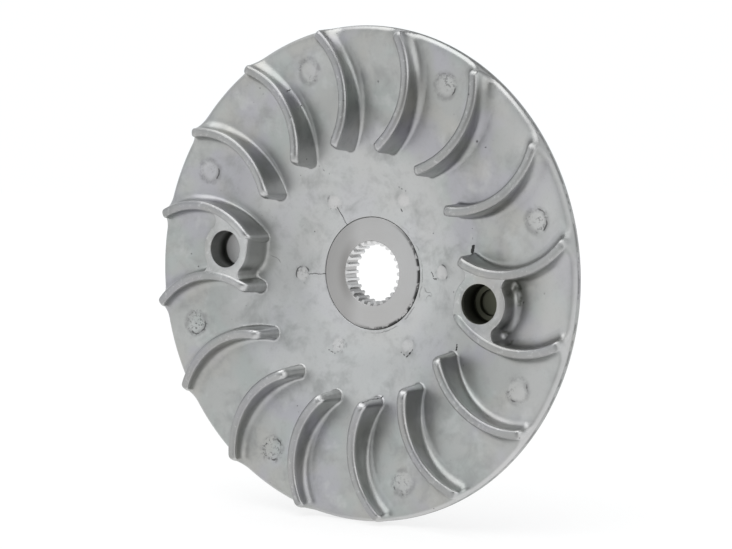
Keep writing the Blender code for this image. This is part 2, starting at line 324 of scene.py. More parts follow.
def rounded(corners):
    """Closed outline whose corners, each (x, y, radius), are turned into arcs."""
    points = []
    for i, (x, y, radius) in enumerate(corners):
        corner = Vector((x, y))
        before = (Vector(corners[i - 1][:2]) - corner).normalized()
        after = (Vector(corners[(i + 1) % len(corners)][:2]) - corner).normalized()
        if radius == 0.0:
            points.append(corner)
            continue
        half = before.angle(after) / 2.0
        reach = radius / math.tan(half)
        centre = corner + (before + after).normalized() * radius / math.sin(half)
        points += arc(centre, corner + before * reach, corner + after * reach, ROUND_STEPS)
    return points


def crossings(centre_a, radius_a, centre_b, radius_b):
    """The two points that lie on both circles, the one nearer the bore first."""
    line = centre_b - centre_a
    along = (radius_a**2 - radius_b**2 + line.length_squared) / (2.0 * line.length)
    across = math.sqrt(radius_a**2 - along**2)
    middle = centre_a + line.normalized() * along
    side = line.normalized().orthogonal() * across
    return sorted((middle + side, middle - side), key=lambda point: point.length)


def outward_normals(outline):
    """Direction away from a counter-clockwise outline at each of its points."""
    normals = []
    for i, point in enumerate(outline):
        before = (point - outline[i - 1]).normalized()
        after = (outline[(i + 1) % len(outline)] - point).normalized()
        along = (before + after).normalized()
        normals.append(Vector((along.y, -along.x)))
    return normals


# Solids


def new_object(name, bm):
    """Object from a bmesh, with its doubles merged and its faces turned outwards."""
    bmesh.ops.remove_doubles(bm, verts=bm.verts, dist=MERGE_DISTANCE)
    bmesh.ops.recalc_face_normals(bm, faces=bm.faces)
    mesh = bpy.data.meshes.new(name)
    bm.to_mesh(mesh)
    bm.free()
    made = bpy.data.objects.new(name, mesh)
    bpy.context.scene.collection.objects.link(made)
    return made


def lofted(name, rings, cap):
    """Closed body through rings of equal count, with the first and last closed by cap(bm, row)."""
    bm = bmesh.new()
    rows = [[bm.verts.new(point) for point in ring] for ring in rings]
    for row, following in zip(rows, rows[1:]):
        for i in range(len(row)):
            j = (i + 1) % len(row)
            bm.faces.new((row[i], row[j], following[j], following[i]))
    cap(bm, rows[0])
    cap(bm, rows[-1])
    return new_object(name, bm)


def cap_flat(bm, row):
    bm.faces.new(row)


def cap_across(bm, row):
    """Close a long ring, whose first and middle points are its two tips, from side to side."""
    for i in range(len(row) // 2):
        corners = (row[i], row[i + 1], row[-i - 1], row[-i])
        bm.faces.new(list(dict.fromkeys(corners)))


def prism(name, outline, low, high):
    rings = [[(point.x, point.y, height) for point in outline] for height in (low, high)]
    return lofted(name, rings, cap_flat)


def turned(name, profile, segments, centre=Vector((0.0, 0.0))):
    """Closed outline of (radius, height) points turned round an upright line."""
    bm = bmesh.new()
    verts = [bm.verts.new((centre.x + radius, centre.y, height)) for radius, height in profile]
    edges = [bm.edges.new(pair) for pair in zip(verts, verts[1:] + verts[:1])]
    bmesh.ops.spin(
        bm,
        geom=verts + edges,
        cent=centre.to_3d(),
        axis=(0.0, 0.0, 1.0),
        angle=FULL_TURN,
        steps=segments,
        use_merge=True,
    )
    return new_object(name, bm)


# Fan disc


def floor_height(radius):
    """Height of the fan-side floor: flat round the hub, easing into the dish, level again at the rim."""
    share = max(FLOOR_RADIUS - radius, 0.0) / (FLOOR_RADIUS - FAN_FLAT_RADIUS)
    drop = share**DISH_CURVE
    ease = max(FLAT_EASE - abs(drop - 1.0), 0.0)
    return RIM_TOP - DISH_DEPTH * (min(drop, 1.0) - ease**2 / (4.0 * FLAT_EASE))


def make_disc():
    """The bare disc: belt cone, rim and dished floor, without blades or bosses."""
    corners = [
        (CAST_BORE_RADIUS, HUB_THICKNESS, JOINT_ROUND),
        (CAST_BORE_RADIUS, 0.0, JOINT_ROUND),
        (BELT_FLAT_RADIUS, 0.0, TURNED_ROUND),
        (RIM_RADIUS - RIM_CHAMFER, RIM_BELT, TURNED_ROUND),
        (RIM_RADIUS, RIM_BELT + RIM_CHAMFER, TURNED_ROUND),
        (RIM_RADIUS, RIM_TOP, RIM_ROUND),
    ]
    inner = CAST_BORE_RADIUS + 2.0 * JOINT_ROUND
    for i in range(1, FLOOR_STEPS + 1):
        radius = FLOOR_RADIUS + (inner - FLOOR_RADIUS) * i / FLOOR_STEPS
        corners.append((radius, floor_height(radius), 0.0))
    return turned("fan_casting", rounded(corners), DISC_SEGMENTS)


def foot_steps(point, direction, top, start, fillet, run):
    """Offsets and heights down a drafted wall and round a fillet that meets the sloping floor squarely,
    then on along the floor for a short run that dives under it."""

    def floor_at(offset):
        return floor_height((point + direction * offset).length)

    lean = Vector((math.cos(CAST_DRAFT), math.sin(CAST_DRAFT)))
    wall_reach = fillet + start * lean.x + top * lean.y
    reach = start + fillet
    for _ in range(SETTLE_PASSES):
        slope = math.atan2(floor_at(reach + fillet / 2.0) - floor_at(reach - fillet / 2.0), fillet)
        floor_reach = fillet - reach * math.sin(slope) + floor_at(reach) * math.cos(slope)
        across = math.cos(CAST_DRAFT - slope)
        middle = Vector((
            (wall_reach * math.cos(slope) - floor_reach * lean.y) / across,
            (floor_reach * lean.x + wall_reach * math.sin(slope)) / across,
        ))
        reach = middle.x + fillet * math.sin(slope)
    wall_foot = middle - fillet * lean
    steps = [Vector((start, top)).lerp(wall_foot, i / WALL_STEPS) for i in range(1, WALL_STEPS)]
    first = math.pi + CAST_DRAFT
    swing = QUARTER_TURN - CAST_DRAFT + slope
    steps += [middle + polar(fillet, first + swing * i / FILLET_STEPS) for i in range(FILLET_STEPS + 1)]
    steps.append(steps[-1] + polar(run, slope - FOOT_DIVE))
    return steps


def edge_steps(reach, top, radius):
    """Offsets and heights over a rounded upper edge, from the flat to the wall."""
    middle = Vector((reach - radius, top - radius))
    return [middle + polar(radius, QUARTER_TURN * (1.0 - i / CREST_STEPS)) for i in range(CREST_STEPS + 1)]


def spine_centre(chord_angle):
    """Centre of a blade's spine arc, on its counter-clockwise side."""
    across = polar(SPINE_RADIUS - BLADE_BULGE, chord_angle + QUARTER_TURN)
    return polar(MID_CHORD, chord_angle) + across


def spine_at(chord_angle, share):
    """Point, outward tangent and clockwise normal of a spine, from 0 at its inner end to 1 at its outer."""
    swing = (2.0 * share - 1.0) * SPINE_HALF_ANGLE
    tangent = polar(1.0, chord_angle + swing)
    normal = polar(1.0, chord_angle + swing - QUARTER_TURN)
    return spine_centre(chord_angle) + normal * SPINE_RADIUS, tangent, normal


def blade_side(side):
    """Shares of the spine and outward directions down one side of a blade, from inner to outer tip."""
    stations = []
    _, tangent, normal = spine_at(0.0, 0.0)
    for i in range(END_STEPS):
        turn = QUARTER_TURN * i / END_STEPS
        stations.append((0.0, normal * side * math.sin(turn) - tangent * math.cos(turn)))
    for i in range(SPINE_STEPS + 1):
        share = BLADE_REACH * (1.0 - (1.0 - i / SPINE_STEPS) ** STATION_EASE)
        _, tangent, normal = spine_at(0.0, share)
        stations.append((share, normal * side))
    for i in range(1, END_STEPS + 1):
        turn = QUARTER_TURN * i / END_STEPS
        stations.append((share, normal * side * math.cos(turn) + tangent * math.sin(turn)))
    return stations


def round_drop(reach, radius):
    """How far a round of some radius has fallen at a reach past its start."""
    return radius - math.sqrt(max(radius**2 - max(reach, 0.0) ** 2, 0.0))


def end_drop(place, half):
    """How far the crest of a blade has fallen near its two ends, which are rounded along the spine."""
    drop = 0.0
    for share, way, droop in ((0.0, -1.0, INNER_DROOP), (BLADE_REACH, 1.0, OUTER_DROOP)):
        point, tangent, _ = spine_at(0.0, share)
        beyond = (place - point).dot(tangent) * way - half + droop
        near = (place - point).length < 2.0 * droop
        drop += round_drop(min(beyond, droop), droop) if near else 0.0
    return drop


def make_blade():
    """One fan blade with its chord along X: a crest that narrows and droops at its ends, drafted walls,
    and a foot that flares outwards and follows the rounded rim."""
    limit = RIM_RADIUS - BLADE_END_GAP
    columns = []
    for share, direction in blade_side(1.0) + blade_side(-1.0)[-2:0:-1]:
        point = spine_at(0.0, share)[0]
        flare = min(max((share - FLARE_START) / (1.0 - FLARE_START), 0.0), 1.0) ** FLARE_CURVE
        half = (CREST_WIDTH + (CREST_END_WIDTH - CREST_WIDTH) * flare) / 2.0
        edge = CREST_ROUND + (CREST_END_ROUND - CREST_ROUND) * flare
        fillet = INNER_FILLET + (OUTER_FILLET - INNER_FILLET) * flare
        steps = edge_steps(half, CREST_TOP, edge)
        steps += foot_steps(point, direction, CREST_TOP - edge, half, fillet, BLADE_FOOT)
        column = []
        for offset, height in steps:
            place = point + direction * offset
            place *= min(1.0, limit / place.length)
            floor = floor_height(place.length)
            rise = max((height - floor) / (CREST_TOP - floor), 0.0)
            height -= end_drop(place, half) * rise**2
            height -= round_drop(place.length - FLOOR_RADIUS, RIM_ROUND)
            column.append((place.x, place.y, height))
        columns.append(column)
    return lofted("fan_blade", list(zip(*columns)), cap_across)


def hole_centre():
    """Middle of the tool hole: half-way between a blade's spine and the next one clockwise."""
    points = crossings(Vector((0.0, 0.0)), HOLE_CIRCLE_RADIUS, spine_centre(0.0), SPINE_RADIUS)
    on_spine = min(points, key=lambda point: point.angle(Vector((1.0, 0.0))))
    return Matrix.Rotation(-BLADE_PITCH / 2.0, 2) @ on_spine


def boss_outline():
    """Outline of a boss in the channel clockwise of a blade: round about its hole, with hollow arcs
    running on to both blades outwards and to the first blade inwards, and a straight wall running
    to the second blade's inner end."""
    hole = hole_centre()
    first, second = spine_centre(0.0), spine_centre(-BLADE_PITCH)
    edge = CREST_WIDTH / 2.0 - (1.0 - math.sqrt(0.5)) * CREST_ROUND
    reach = BOSS_RADIUS + BOSS_HOLLOW
    inner, outer = crossings(hole, reach, first, SPINE_RADIUS + edge + BOSS_HOLLOW)
    outer_second = crossings(hole, reach, second, SPINE_RADIUS - edge - BOSS_HOLLOW)[1]

    def hollow(middle, spine):
        """Points from the round of the boss to a blade, round the middle of a hollow arc."""
        from_boss = middle + (hole - middle).normalized() * BOSS_HOLLOW
        side = 1.0 if (middle - spine).length < SPINE_RADIUS else -1.0
        to_blade = middle + (middle - spine).normalized() * side * BOSS_HOLLOW
        return arc(middle, from_boss, to_blade, BOSS_STEPS)

    def on_spine(point, spine):
        return spine + (point - spine).normalized() * SPINE_RADIUS

    end = spine_at(-BLADE_PITCH, 0.0)[0]
    line = end - hole
    lean = (BOSS_RADIUS - edge) / line.length
    across = Vector((line.y, -line.x)).normalized()
    across *= -math.copysign(math.sqrt(1.0 - lean**2), across.dot(hole))
    wall = line.normalized() * lean + across

    near_second = hollow(outer_second, second)[::-1]
    near_first = hollow(outer, first)
    back_from_first = hollow(inner, first)[::-1]
    outline = near_second
    outline += arc(hole, near_second[-1], near_first[0], BOSS_STEPS)[1:-1]
    outline += near_first
    outline += arc(first, on_spine(near_first[-1], first), on_spine(back_from_first[0], first), BOSS_STEPS)
    outline += back_from_first
    outline += arc(hole, back_from_first[-1], hole + wall * BOSS_RADIUS, BOSS_STEPS)[1:]
    outline.append(end + wall * edge)
    outline += arc(second, end, on_spine(near_second[0], second), BOSS_STEPS)
    return outline


def make_boss():
    outline = boss_outline()
    columns = []
    for point, normal in zip(outline, outward_normals(outline)):
        steps = edge_steps(0.0, BOSS_TOP, BOSS_ROUND)
        steps += foot_steps(point, normal, BOSS_TOP - BOSS_ROUND, 0.0, BOSS_FILLET, BOSS_FOOT)
        places = [(point + normal * offset, height) for offset, height in steps]
        columns.append([(place.x, place.y, height) for place, height in places])
    rings = list(zip(*columns))
    lowest = min(z for x, y, z in rings[-1])
    rings.append([(x, y, lowest) for x, y, z in rings[-1]])
    return lofted("hole_boss", rings, cap_flat)


def make_drill(name, radius, floor, flare):
    """Cutter for a blind hole, with a rounded floor corner and a flared mouth."""
    mouth = BOSS_TOP + OVERRUN
    profile = [
        (0.0, floor, 0.0),
        (radius, floor, HOLE_ROUND),
        (radius, BOSS_TOP - flare, 0.0),
        (radius + FLARE_KNEE * flare, BOSS_TOP - FLARE_KNEE * flare, 0.0),
        (radius + flare, BOSS_TOP, 0.0),
        (radius + flare, mouth, 0.0),
        (0.0, mouth, 0.0),
    ]
    return turned(name, rounded(profile), HOLE_SEGMENTS, hole_centre())


def make_collar(name, clearance):
    radius = COLLAR_RADIUS + clearance / math.cos(math.pi / COLLAR_SIDES)
    low = COLLAR_COVER - clearance
    return prism(name, circle(radius, COLLAR_SIDES), low, HUB_THICKNESS - low)


# Splined hub


def make_blank():
    """The hub before it is bored."""
    corners = [
        (0.0, 0.0, 0.0),
        (HUB_RADIUS, 0.0, JOINT_ROUND),
        (HUB_RADIUS, HUB_THICKNESS, JOINT_ROUND),
        (0.0, HUB_THICKNESS, 0.0),
    ]
    return turned("hub_insert", rounded(corners), HUB_SEGMENTS)


def make_reamer():
    """Cutter for the bore, down to the bottom of the tooth gaps, with a chamfer at both mouths."""
    mouth = SPLINE_MAJOR_RADIUS + BORE_CHAMFER + OVERRUN
    corners = [
        (0.0, -OVERRUN, 0.0),
        (mouth, -OVERRUN, 0.0),
        (SPLINE_MAJOR_RADIUS, BORE_CHAMFER, 0.0),
        (SPLINE_MAJOR_RADIUS, HUB_THICKNESS - BORE_CHAMFER, 0.0),
        (mouth, HUB_THICKNESS + OVERRUN, 0.0),
        (0.0, HUB_THICKNESS + OVERRUN, 0.0),
    ]
    return turned("bore_reamer", rounded(corners), HUB_SEGMENTS)


def make_tooth():
    """One spline tooth, whose ends slope away a little at both mouths of the bore."""
    half_pitch = math.pi / SPLINE_TEETH
    tip = TOOTH_TIP_SHARE * half_pitch
    base = (1.0 - TOOTH_GAP_SHARE) * half_pitch
    buried = SPLINE_MAJOR_RADIUS + TOOTH_ROOT
    corners = []
    for radius, angle, edge in (
        (buried, -base, 0.0),
        (buried, base, 0.0),
        (SPLINE_MAJOR_RADIUS, base, 0.0),
        (SPLINE_MINOR_RADIUS, tip, TOOTH_ROUND),
        (SPLINE_MINOR_RADIUS, -tip, TOOTH_ROUND),
        (SPLINE_MAJOR_RADIUS, -base, 0.0),
    ):
        corners.append((*polar(radius, angle), edge))
    outline = rounded(corners)
    mouth = SPLINE_MAJOR_RADIUS + BORE_CHAMFER
    ends = [TOOTH_END_SLOPE * (mouth - point.length) + TOOTH_DROP for point in outline]
    low = [(point.x, point.y, end) for point, end in zip(outline, ends)]
    high = [(point.x, point.y, HUB_THICKNESS - end) for point, end in zip(outline, ends)]
    return lofted("spline_tooth", [low, high], cap_flat)


# Trees that repeat a shape round the bore and join it with its carrier


def new_tree(name, inputs):
    """Geometry tree with named inputs, each (name, kind), and a wire from every input."""
    tree = bpy.data.node_groups.new(name, "GeometryNodeTree")
    tree.interface.new_socket("Carrier", in_out="INPUT", socket_type="NodeSocketGeometry")
    for label, kind in inputs:
        tree.interface.new_socket(label, in_out="INPUT", socket_type="NodeSocket" + kind)
    tree.interface.new_socket("Piece", in_out="OUTPUT", socket_type="NodeSocketGeometry")
    entry = tree.nodes.new("NodeGroupInput")
    wires = {socket.name: Wire(tree, socket) for socket in entry.outputs if socket.name}
    return tree, wires


def shape_of(thing):
    return thing.add("GeometryNodeObjectInfo", None, {"Object": thing}, "Geometry")


def ring_of(thing, count, turn):
    """Copies of an object's shape, evenly round the bore, the first one turned by an angle."""
    index = thing.add("GeometryNodeInputIndex")
    around = index * FULL_TURN / count + turn
    angles = thing.add("ShaderNodeCombineXYZ", None, {"Z": around})
    rotation = thing.add("FunctionNodeEulerToRotation", None, {0: angles})
    points = thing.add("GeometryNodePoints", None, {"Count": count})
    inputs = {"Points": points, "Instance": shape_of(thing), "Rotation": rotation}
    copies = thing.add("GeometryNodeInstanceOnPoints", None, inputs)
    return thing.add("GeometryNodeRealizeInstances", None, {0: copies})


def joined(shapes):
    settings = {"operation": "UNION", "solver": "MANIFOLD"}
    return shapes[0].add("GeometryNodeMeshBoolean", settings, {1: shapes})


def cut(shape, cutters):
    settings = {"operation": "DIFFERENCE", "solver": "MANIFOLD"}
    return shape.add("GeometryNodeMeshBoolean", settings, {0: shape, 1: cutters})


def close_tree(tree, shape, finish):
    """End a tree with its shape, after setting each material where its selection, if any, says."""
    whole = shape.add("GeometryNodeRealizeInstances", None, {0: shape})
    for metal, where in finish:
        inputs = {"Geometry": whole, "Material": metal}
        if where is not None:
            inputs["Selection"] = where
        whole = whole.add("GeometryNodeSetMaterial", None, inputs)
    exit_node = tree.nodes.new("NodeGroupOutput")
    whole.into(exit_node.inputs[0])
    return tree


def casting_tree():
    """Blades and bosses round the disc, with the tool holes drilled and the hub's collar let in."""
    tree, wires = new_tree("fan_casting", (
        ("Blade", "Object"),
        ("Blades", "Int"),
        ("First blade", "Float"),
        ("Boss", "Object"),
        ("Bosses", "Int"),
        ("Drill", "Object"),
        ("Step drill", "Object"),
        ("Collar", "Object"),
        ("Cast skin", "Material"),
        ("Turned face", "Material"),
    ))
    turn = wires["First blade"]
    blades = ring_of(wires["Blade"], wires["Blades"], turn)
    bosses = ring_of(wires["Boss"], wires["Bosses"], turn)
    holes = ring_of(wires["Drill"], wires["Bosses"], turn)
    step = ring_of(wires["Step drill"], 1, turn)
    solid = joined([wires["Carrier"], blades])
    solid = joined([solid, bosses])
    solid = cut(solid, [holes])
    solid = cut(solid, [step])
    solid = cut(solid, [shape_of(wires["Collar"])])
    facing = solid.add("GeometryNodeInputNormal").part("Z")
    finish = ((wires["Cast skin"], None), (wires["Turned face"], facing < BELT_FACE_TILT))
    return close_tree(tree, solid, finish)


def hub_tree():
    """Spline teeth round the bore of the hub's ring, and the collar that locks it in the casting."""
    tree, wires = new_tree("hub_insert", (
        ("Tooth", "Object"),
        ("Teeth", "Int"),
        ("Collar", "Object"),
        ("Reamer", "Object"),
        ("Steel", "Material"),
    ))
    teeth = ring_of(wires["Tooth"], wires["Teeth"], 0.0)
    solid = joined([wires["Carrier"], shape_of(wires["Collar"])])
    solid = cut(solid, [shape_of(wires["Reamer"])])
    solid = joined([solid, teeth])
    return close_tree(tree, solid, ((wires["Steel"], None),))


def finish_piece(carrier, tree, values, node):
    """Run a tree on its carrier, keep the result as a plain upright mesh and put it in its node's place."""
    modifier = carrier.modifiers.new(tree.name, "NODES")
    modifier.node_group = tree
    for item in tree.interface.items_tree:
        if item.in_out == "INPUT" and item.name in values:
            modifier[item.identifier] = values[item.name]
    bpy.context.view_layer.update()
    evaluated = carrier.evaluated_get(bpy.context.evaluated_depsgraph_get())
    mesh = bpy.data.meshes.new_from_object(evaluated)
    carrier.modifiers.remove(modifier)
    carrier.data = mesh
    mesh.transform(Matrix.Rotation(QUARTER_TURN, 4, "X"))
    mesh.shade_smooth()
    mesh.set_sharp_from_angle(angle=SMOOTH_ANGLE)
    for value in values.values():
        if isinstance(value, bpy.types.Object):
            bpy.data.objects.remove(value, do_unlink=True)
    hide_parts(node)
    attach(carrier, "root")


# Finishes


def new_material(name):
    made = bpy.data.materials.new(name)
    made.use_nodes = True
    shader = made.node_tree.nodes["Principled BSDF"]
    start = Wire(made.node_tree)
    return made, shader.inputs, start.add("ShaderNodeTexCoord", output="Object")


def grey(level, warmth=0.0):
    return (level * (1.0 + warmth), level, level * (1.0 - warmth), 1.0)


def bumped(height):
    """Normal from a height in metres."""
    return height.add("ShaderNodeBump", None, {"Strength": 1.0, "Distance": 1.0, "Height": height})


def mark_offsets(radius, angle, count, first, circle_radius):
    """Offsets outwards and sideways, in metres, from the nearest of the marks set evenly on a circle."""
    pitch = FULL_TURN / count
    turns = (angle - first) / pitch + 0.5
    swing = (turns.math("FRACT") - 0.5) * pitch
    return radius * swing.math("COSINE") - circle_radius, radius * swing.math("SINE")


def length(along, across):
    return (along * along + across * across).math("SQRT")


def around_bore(place):
    """Distance from the bore axis and angle round it, seen from the fan side."""
    x, z = place.part("X"), place.part("Z")
    return length(x, z), z.math("ARCTAN2", x)


def from_marks(place, marks):
    """Distance in metres from the edge of the nearest mark."""
    x, z = place.part("X"), place.part("Z")
    nearest = None
    for start, end, half in marks:
        run_x, run_z = end[0] - start[0], end[1] - start[1]
        off_x, off_z = x - start[0], z - start[1]
        share = (off_x * run_x + off_z * run_z).ramp(0.0, run_x**2 + run_z**2)
        away = length(off_x - share * run_x, off_z - share * run_z) - half
        nearest = away if nearest is None else away.math("MINIMUM", nearest)
    return nearest


def towards_dirt(angle):
    """1 on the side of the hub where dirt collects, -1 opposite."""
    return (angle - DIRTY_SIDE).math("COSINE")


def warped(place, scale, reach):
    """The same places, pushed about by noise so that a pattern on them loses its regular look."""
    push = place.noise(scale, 2.0, 0.5, "Color")
    inputs = {0: push, 1: (2.0 * reach,) * 3, 2: (-reach,) * 3}
    push = push.add("ShaderNodeVectorMath", {"operation": "MULTIPLY_ADD"}, inputs)
    return place.add("ShaderNodeVectorMath", {"operation": "ADD"}, {0: place, 1: push})


def cells(place, scale, feature, output):
    inputs = {"Vector": place, "Scale": scale}
    return place.add("ShaderNodeTexVoronoi", {"feature": feature}, inputs, output)


def layered(colour, layers):
    """A colour with paints laid over it in turn, each as strongly as its mask says."""
    for mask, paint in layers:
        colour = mask.blend(colour, paint)
    return colour


def hole_masks(place, hole, height_up):
    """Masks of the tool holes: inside one, inside the right one, painted shade that deepens into them, and
    painted light on the left one's floor.
    """
    stepped = place.part("X").ramp(-0.01, 0.01)
    depth = BOSS_TOP - height_up
    in_hole = hole.ramp(HOLE_RADIUS + HOLE_ROUND, HOLE_RADIUS - HOLE_ROUND)
    within = hole.ramp(HOLE_RADIUS + 0.0006, HOLE_RADIUS + 0.0002)
    at_wall = hole.ramp(HOLE_RADIUS - 0.0008, HOLE_RADIUS - 0.0002)
    at_step = abs(hole - STEP_RADIUS).ramp(0.0006, 0.0001)
    at_step = at_step * height_up.ramp(HOLE_FLOOR - 0.0001, HOLE_FLOOR - 0.0004)
    # Painted shade: darker down the hole walls, over the whole right hole and round its step
    dirt_and_shade = at_wall * (0.3 + 0.44 * stepped + (0.6 - 0.38 * stepped) * depth.ramp(0.0025, 0.0055))
    dirt_and_shade = dirt_and_shade.math("MAXIMUM", (0.62 + 0.15 * at_step) * stepped)
    dirt_and_shade = within * depth.ramp(0.0003, 0.004 - 0.0028 * stepped) * dirt_and_shade
    # Painted light on the floor of the left hole
    painted_hole_light = in_hole * height_up.ramp(HOLE_FLOOR + 0.0004, HOLE_FLOOR + 0.0001) * (1.0 - stepped)
    return in_hole, in_hole * stepped, dirt_and_shade, painted_hole_light


def pit_mask(place):
    """Small pits, in patches."""
    spread = warped(place, 900.0, 0.0003)
    chosen = cells(spread, 420.0, "F1", "Color")
    reach = 0.05 + 0.13 * chosen.part("Y")
    pit = cells(spread, 420.0, "F1", "Distance").ramp(reach, 0.3 * reach)
    return pit * chosen.part("X").ramp(0.5, 0.55) * place.noise(95.0, 2.0).ramp(0.53, 0.61)


def crest_masks(hole, height_up):
    """Flat tops of the blades, and the band just below them, both away from the bosses."""
    off_boss = hole.ramp(BOSS_RADIUS - 0.0006, BOSS_RADIUS + 0.0008)
    crest = height_up.ramp(CREST_TOP - 0.0007, CREST_TOP - 0.0001) * off_boss
    band = height_up.ramp(CREST_TOP - 0.0015, CREST_TOP - 0.0009) * off_boss
    return crest, band * height_up.ramp(CREST_TOP - 0.0002, CREST_TOP - 0.0005)


def cast_skin():
    """Matt die-cast aluminium: mottled grey, pusher marks, cracks, chips and wear, with painted light round
    the hub and on edges, and painted shade in the tool holes and round the bosses.
    """
    made, shader, place = new_material("cast_skin")
    x, z = place.part("X"), place.part("Z")
    true_radius, true_angle = around_bore(place)
    radius, angle = around_bore(warped(warped(place, 380.0, 0.0005), 1500.0, 0.0002))
    height_up = 0.0 - place.part("Y")
    fan_side = height_up.ramp(0.0025, 0.004)

    clouds = place.noise(34.0, 3.0, 0.6)
    tint = place.noise(75.0, 2.0, 0.5, "Color")
    smudges = warped(place, 60.0, 0.006).noise(110.0, 4.0, 0.62)
    milk = place.noise(150.0, 3.0, 0.55)
    blotches = place.noise(280.0, 3.0, 0.6)
    torn = place.noise(360.0, 3.0, 0.65)
    grain = place.noise(1600.0, 2.0, 0.6)
    # Painted light: a paler pool round the hub, centred a little left of the bore
    painted_hub_light = length(x + 0.006, z) + 0.02 * (clouds - 0.5)
    painted_hub_light = painted_hub_light.ramp(0.040, 0.029) * fan_side

    # Tool holes, painted shade round the foot of their bosses, and painted shade in the right boss's
    # corners
    middle = hole_centre()
    hole_turn = BLADE_TURN + math.atan2(middle.y, middle.x)
    hole = length(*mark_offsets(true_radius, true_angle, BOSS_COUNT, hole_turn, HOLE_CIRCLE_RADIUS))
    in_hole, olive, dirt_and_shade, painted_hole_light = hole_masks(place, hole, height_up)
    # Painted shade round the foot of each boss
    painted_boss_shade = hole.ramp(BOSS_RADIUS + 0.0045, BOSS_RADIUS + 0.002) * (1.0 - in_hole)
    painted_boss_shade = painted_boss_shade * height_up.ramp(BOSS_TOP - 0.0006, BOSS_TOP - 0.002)
    # Painted shade in the right boss's concave corners
    painted_corner_shade = from_marks(warped(place, 500.0, 0.0008), BOSS_CORNER_SHADE).ramp(0.0006, -0.0005)
    painted_corner_shade = painted_corner_shade * torn.ramp(0.3, 0.55) * (1.0 - in_hole)
    painted_corner_shade = painted_corner_shade * height_up.ramp(BOSS_TOP - 0.0003, BOSS_TOP - 0.0012)

    # Pusher marks
    outer = length(*mark_offsets(radius, angle, OUTER_MARKS, OUTER_MARK_TURN, OUTER_MARK_CIRCLE))
    along, across = mark_offsets(radius, angle, INNER_MARKS, INNER_MARK_TURN, INNER_MARK_CIRCLE)
    edge = (outer - OUTER_MARK_RADIUS).math("MINIMUM", length(along, across) - INNER_MARK_RADIUS)
    aged = (x + z).ramp(-0.035, -0.06)
    nearer = true_radius.ramp(0.040, 0.034)
    pusher = edge.ramp(0.0001, -0.0005) * fan_side
    speckled = edge.ramp(0.0012, -0.0003) * place.noise(1250.0, 2.0, 0.7).ramp(0.53, 0.62) * fan_side
    speckled = speckled * (place.noise(170.0, 2.0).ramp(0.48, 0.62) * 0.7 + aged * 0.7)
    halo = abs(edge).ramp(0.0013, 0.0002) * torn.ramp(0.36, 0.6) * fan_side
    scribble = abs(edge).ramp(0.00028, 0.0001) * place.noise(210.0, 2.0).ramp(0.54, 0.62) * fan_side

    # Cracks, pits and chips
    upper_left = x.ramp(-0.003, -0.006) * z.ramp(-0.008, -0.004)
    split = abs(across).ramp(0.00016, 0.00006) * along.ramp(-0.0013, -0.0019) * upper_left
    crazing = cells(warped(place, 190.0, 0.003), 58.0, "DISTANCE_TO_EDGE", "Distance")
    cracked = place.noise(75.0, 2.0).ramp(0.58, 0.66) * nearer
    crack = (crazing.ramp(0.008, 0.002) * cracked * torn.ramp(0.42, 0.54) * 0.6 + split) * fan_side
    pit = pit_mask(place) * (1.0 - in_hole)
    chip = from_marks(warped(warped(place, 500.0, 0.0007), 2200.0, 0.0003), CHIPS)
    chip = chip.ramp(0.0001, -0.0001) * fan_side

    # Seams on the rim and round the hub, a painted highlight on the rim's lower right and along the blades'
    # upper edges, wear on the blades, painted light on the floor at the right, and a duller rim on the
    # right
    on_rim = true_radius.ramp(RIM_RADIUS - 0.0002, RIM_RADIUS - 0.0001)
    seam = abs(height_up - RIM_TOP + RIM_ROUND).ramp(0.0005, 0.0002) * on_rim * torn.ramp(0.44, 0.54)
    hub_seam = abs(radius - HUB_RADIUS - 0.0009).ramp(0.00018, 0.00008) * torn.ramp(0.42, 0.5)
    seam = seam + hub_seam * towards_dirt(angle).ramp(0.0, 0.8) * fan_side
    crest, crest_edge = crest_masks(hole, height_up)
    # Painted highlight on the rim's lower right and along the band just below the blade tops
    painted_edge_highlight = true_radius.ramp(RIM_RADIUS - 0.0012, RIM_RADIUS - 0.0006) * (1.0 - on_rim)
    painted_edge_highlight = painted_edge_highlight * (x - z).ramp(0.05, 0.075, 0.25, 0.65)
    painted_edge_highlight = painted_edge_highlight.math("MAXIMUM", 0.4 * crest_edge) * fan_side
    wear = height_up.ramp(CREST_TOP - 0.0011, CREST_TOP - 0.0004)
    wear = wear * place.noise(900.0, 3.0, 0.7).ramp(0.54, 0.7)
    # Painted light on the floor near the rim at the right
    painted_right_sheen = x.ramp(0.03, 0.055) * true_radius.ramp(0.050, 0.056) * fan_side
    dull_rim = true_radius.ramp(RIM_RADIUS - 0.0018, RIM_RADIUS - 0.0011) * x.ramp(0.046, 0.054)

    colour = clouds.ramp(0.32, 0.68).blend((0.375, 0.382, 0.374, 1.0), (0.432, 0.439, 0.430, 1.0))
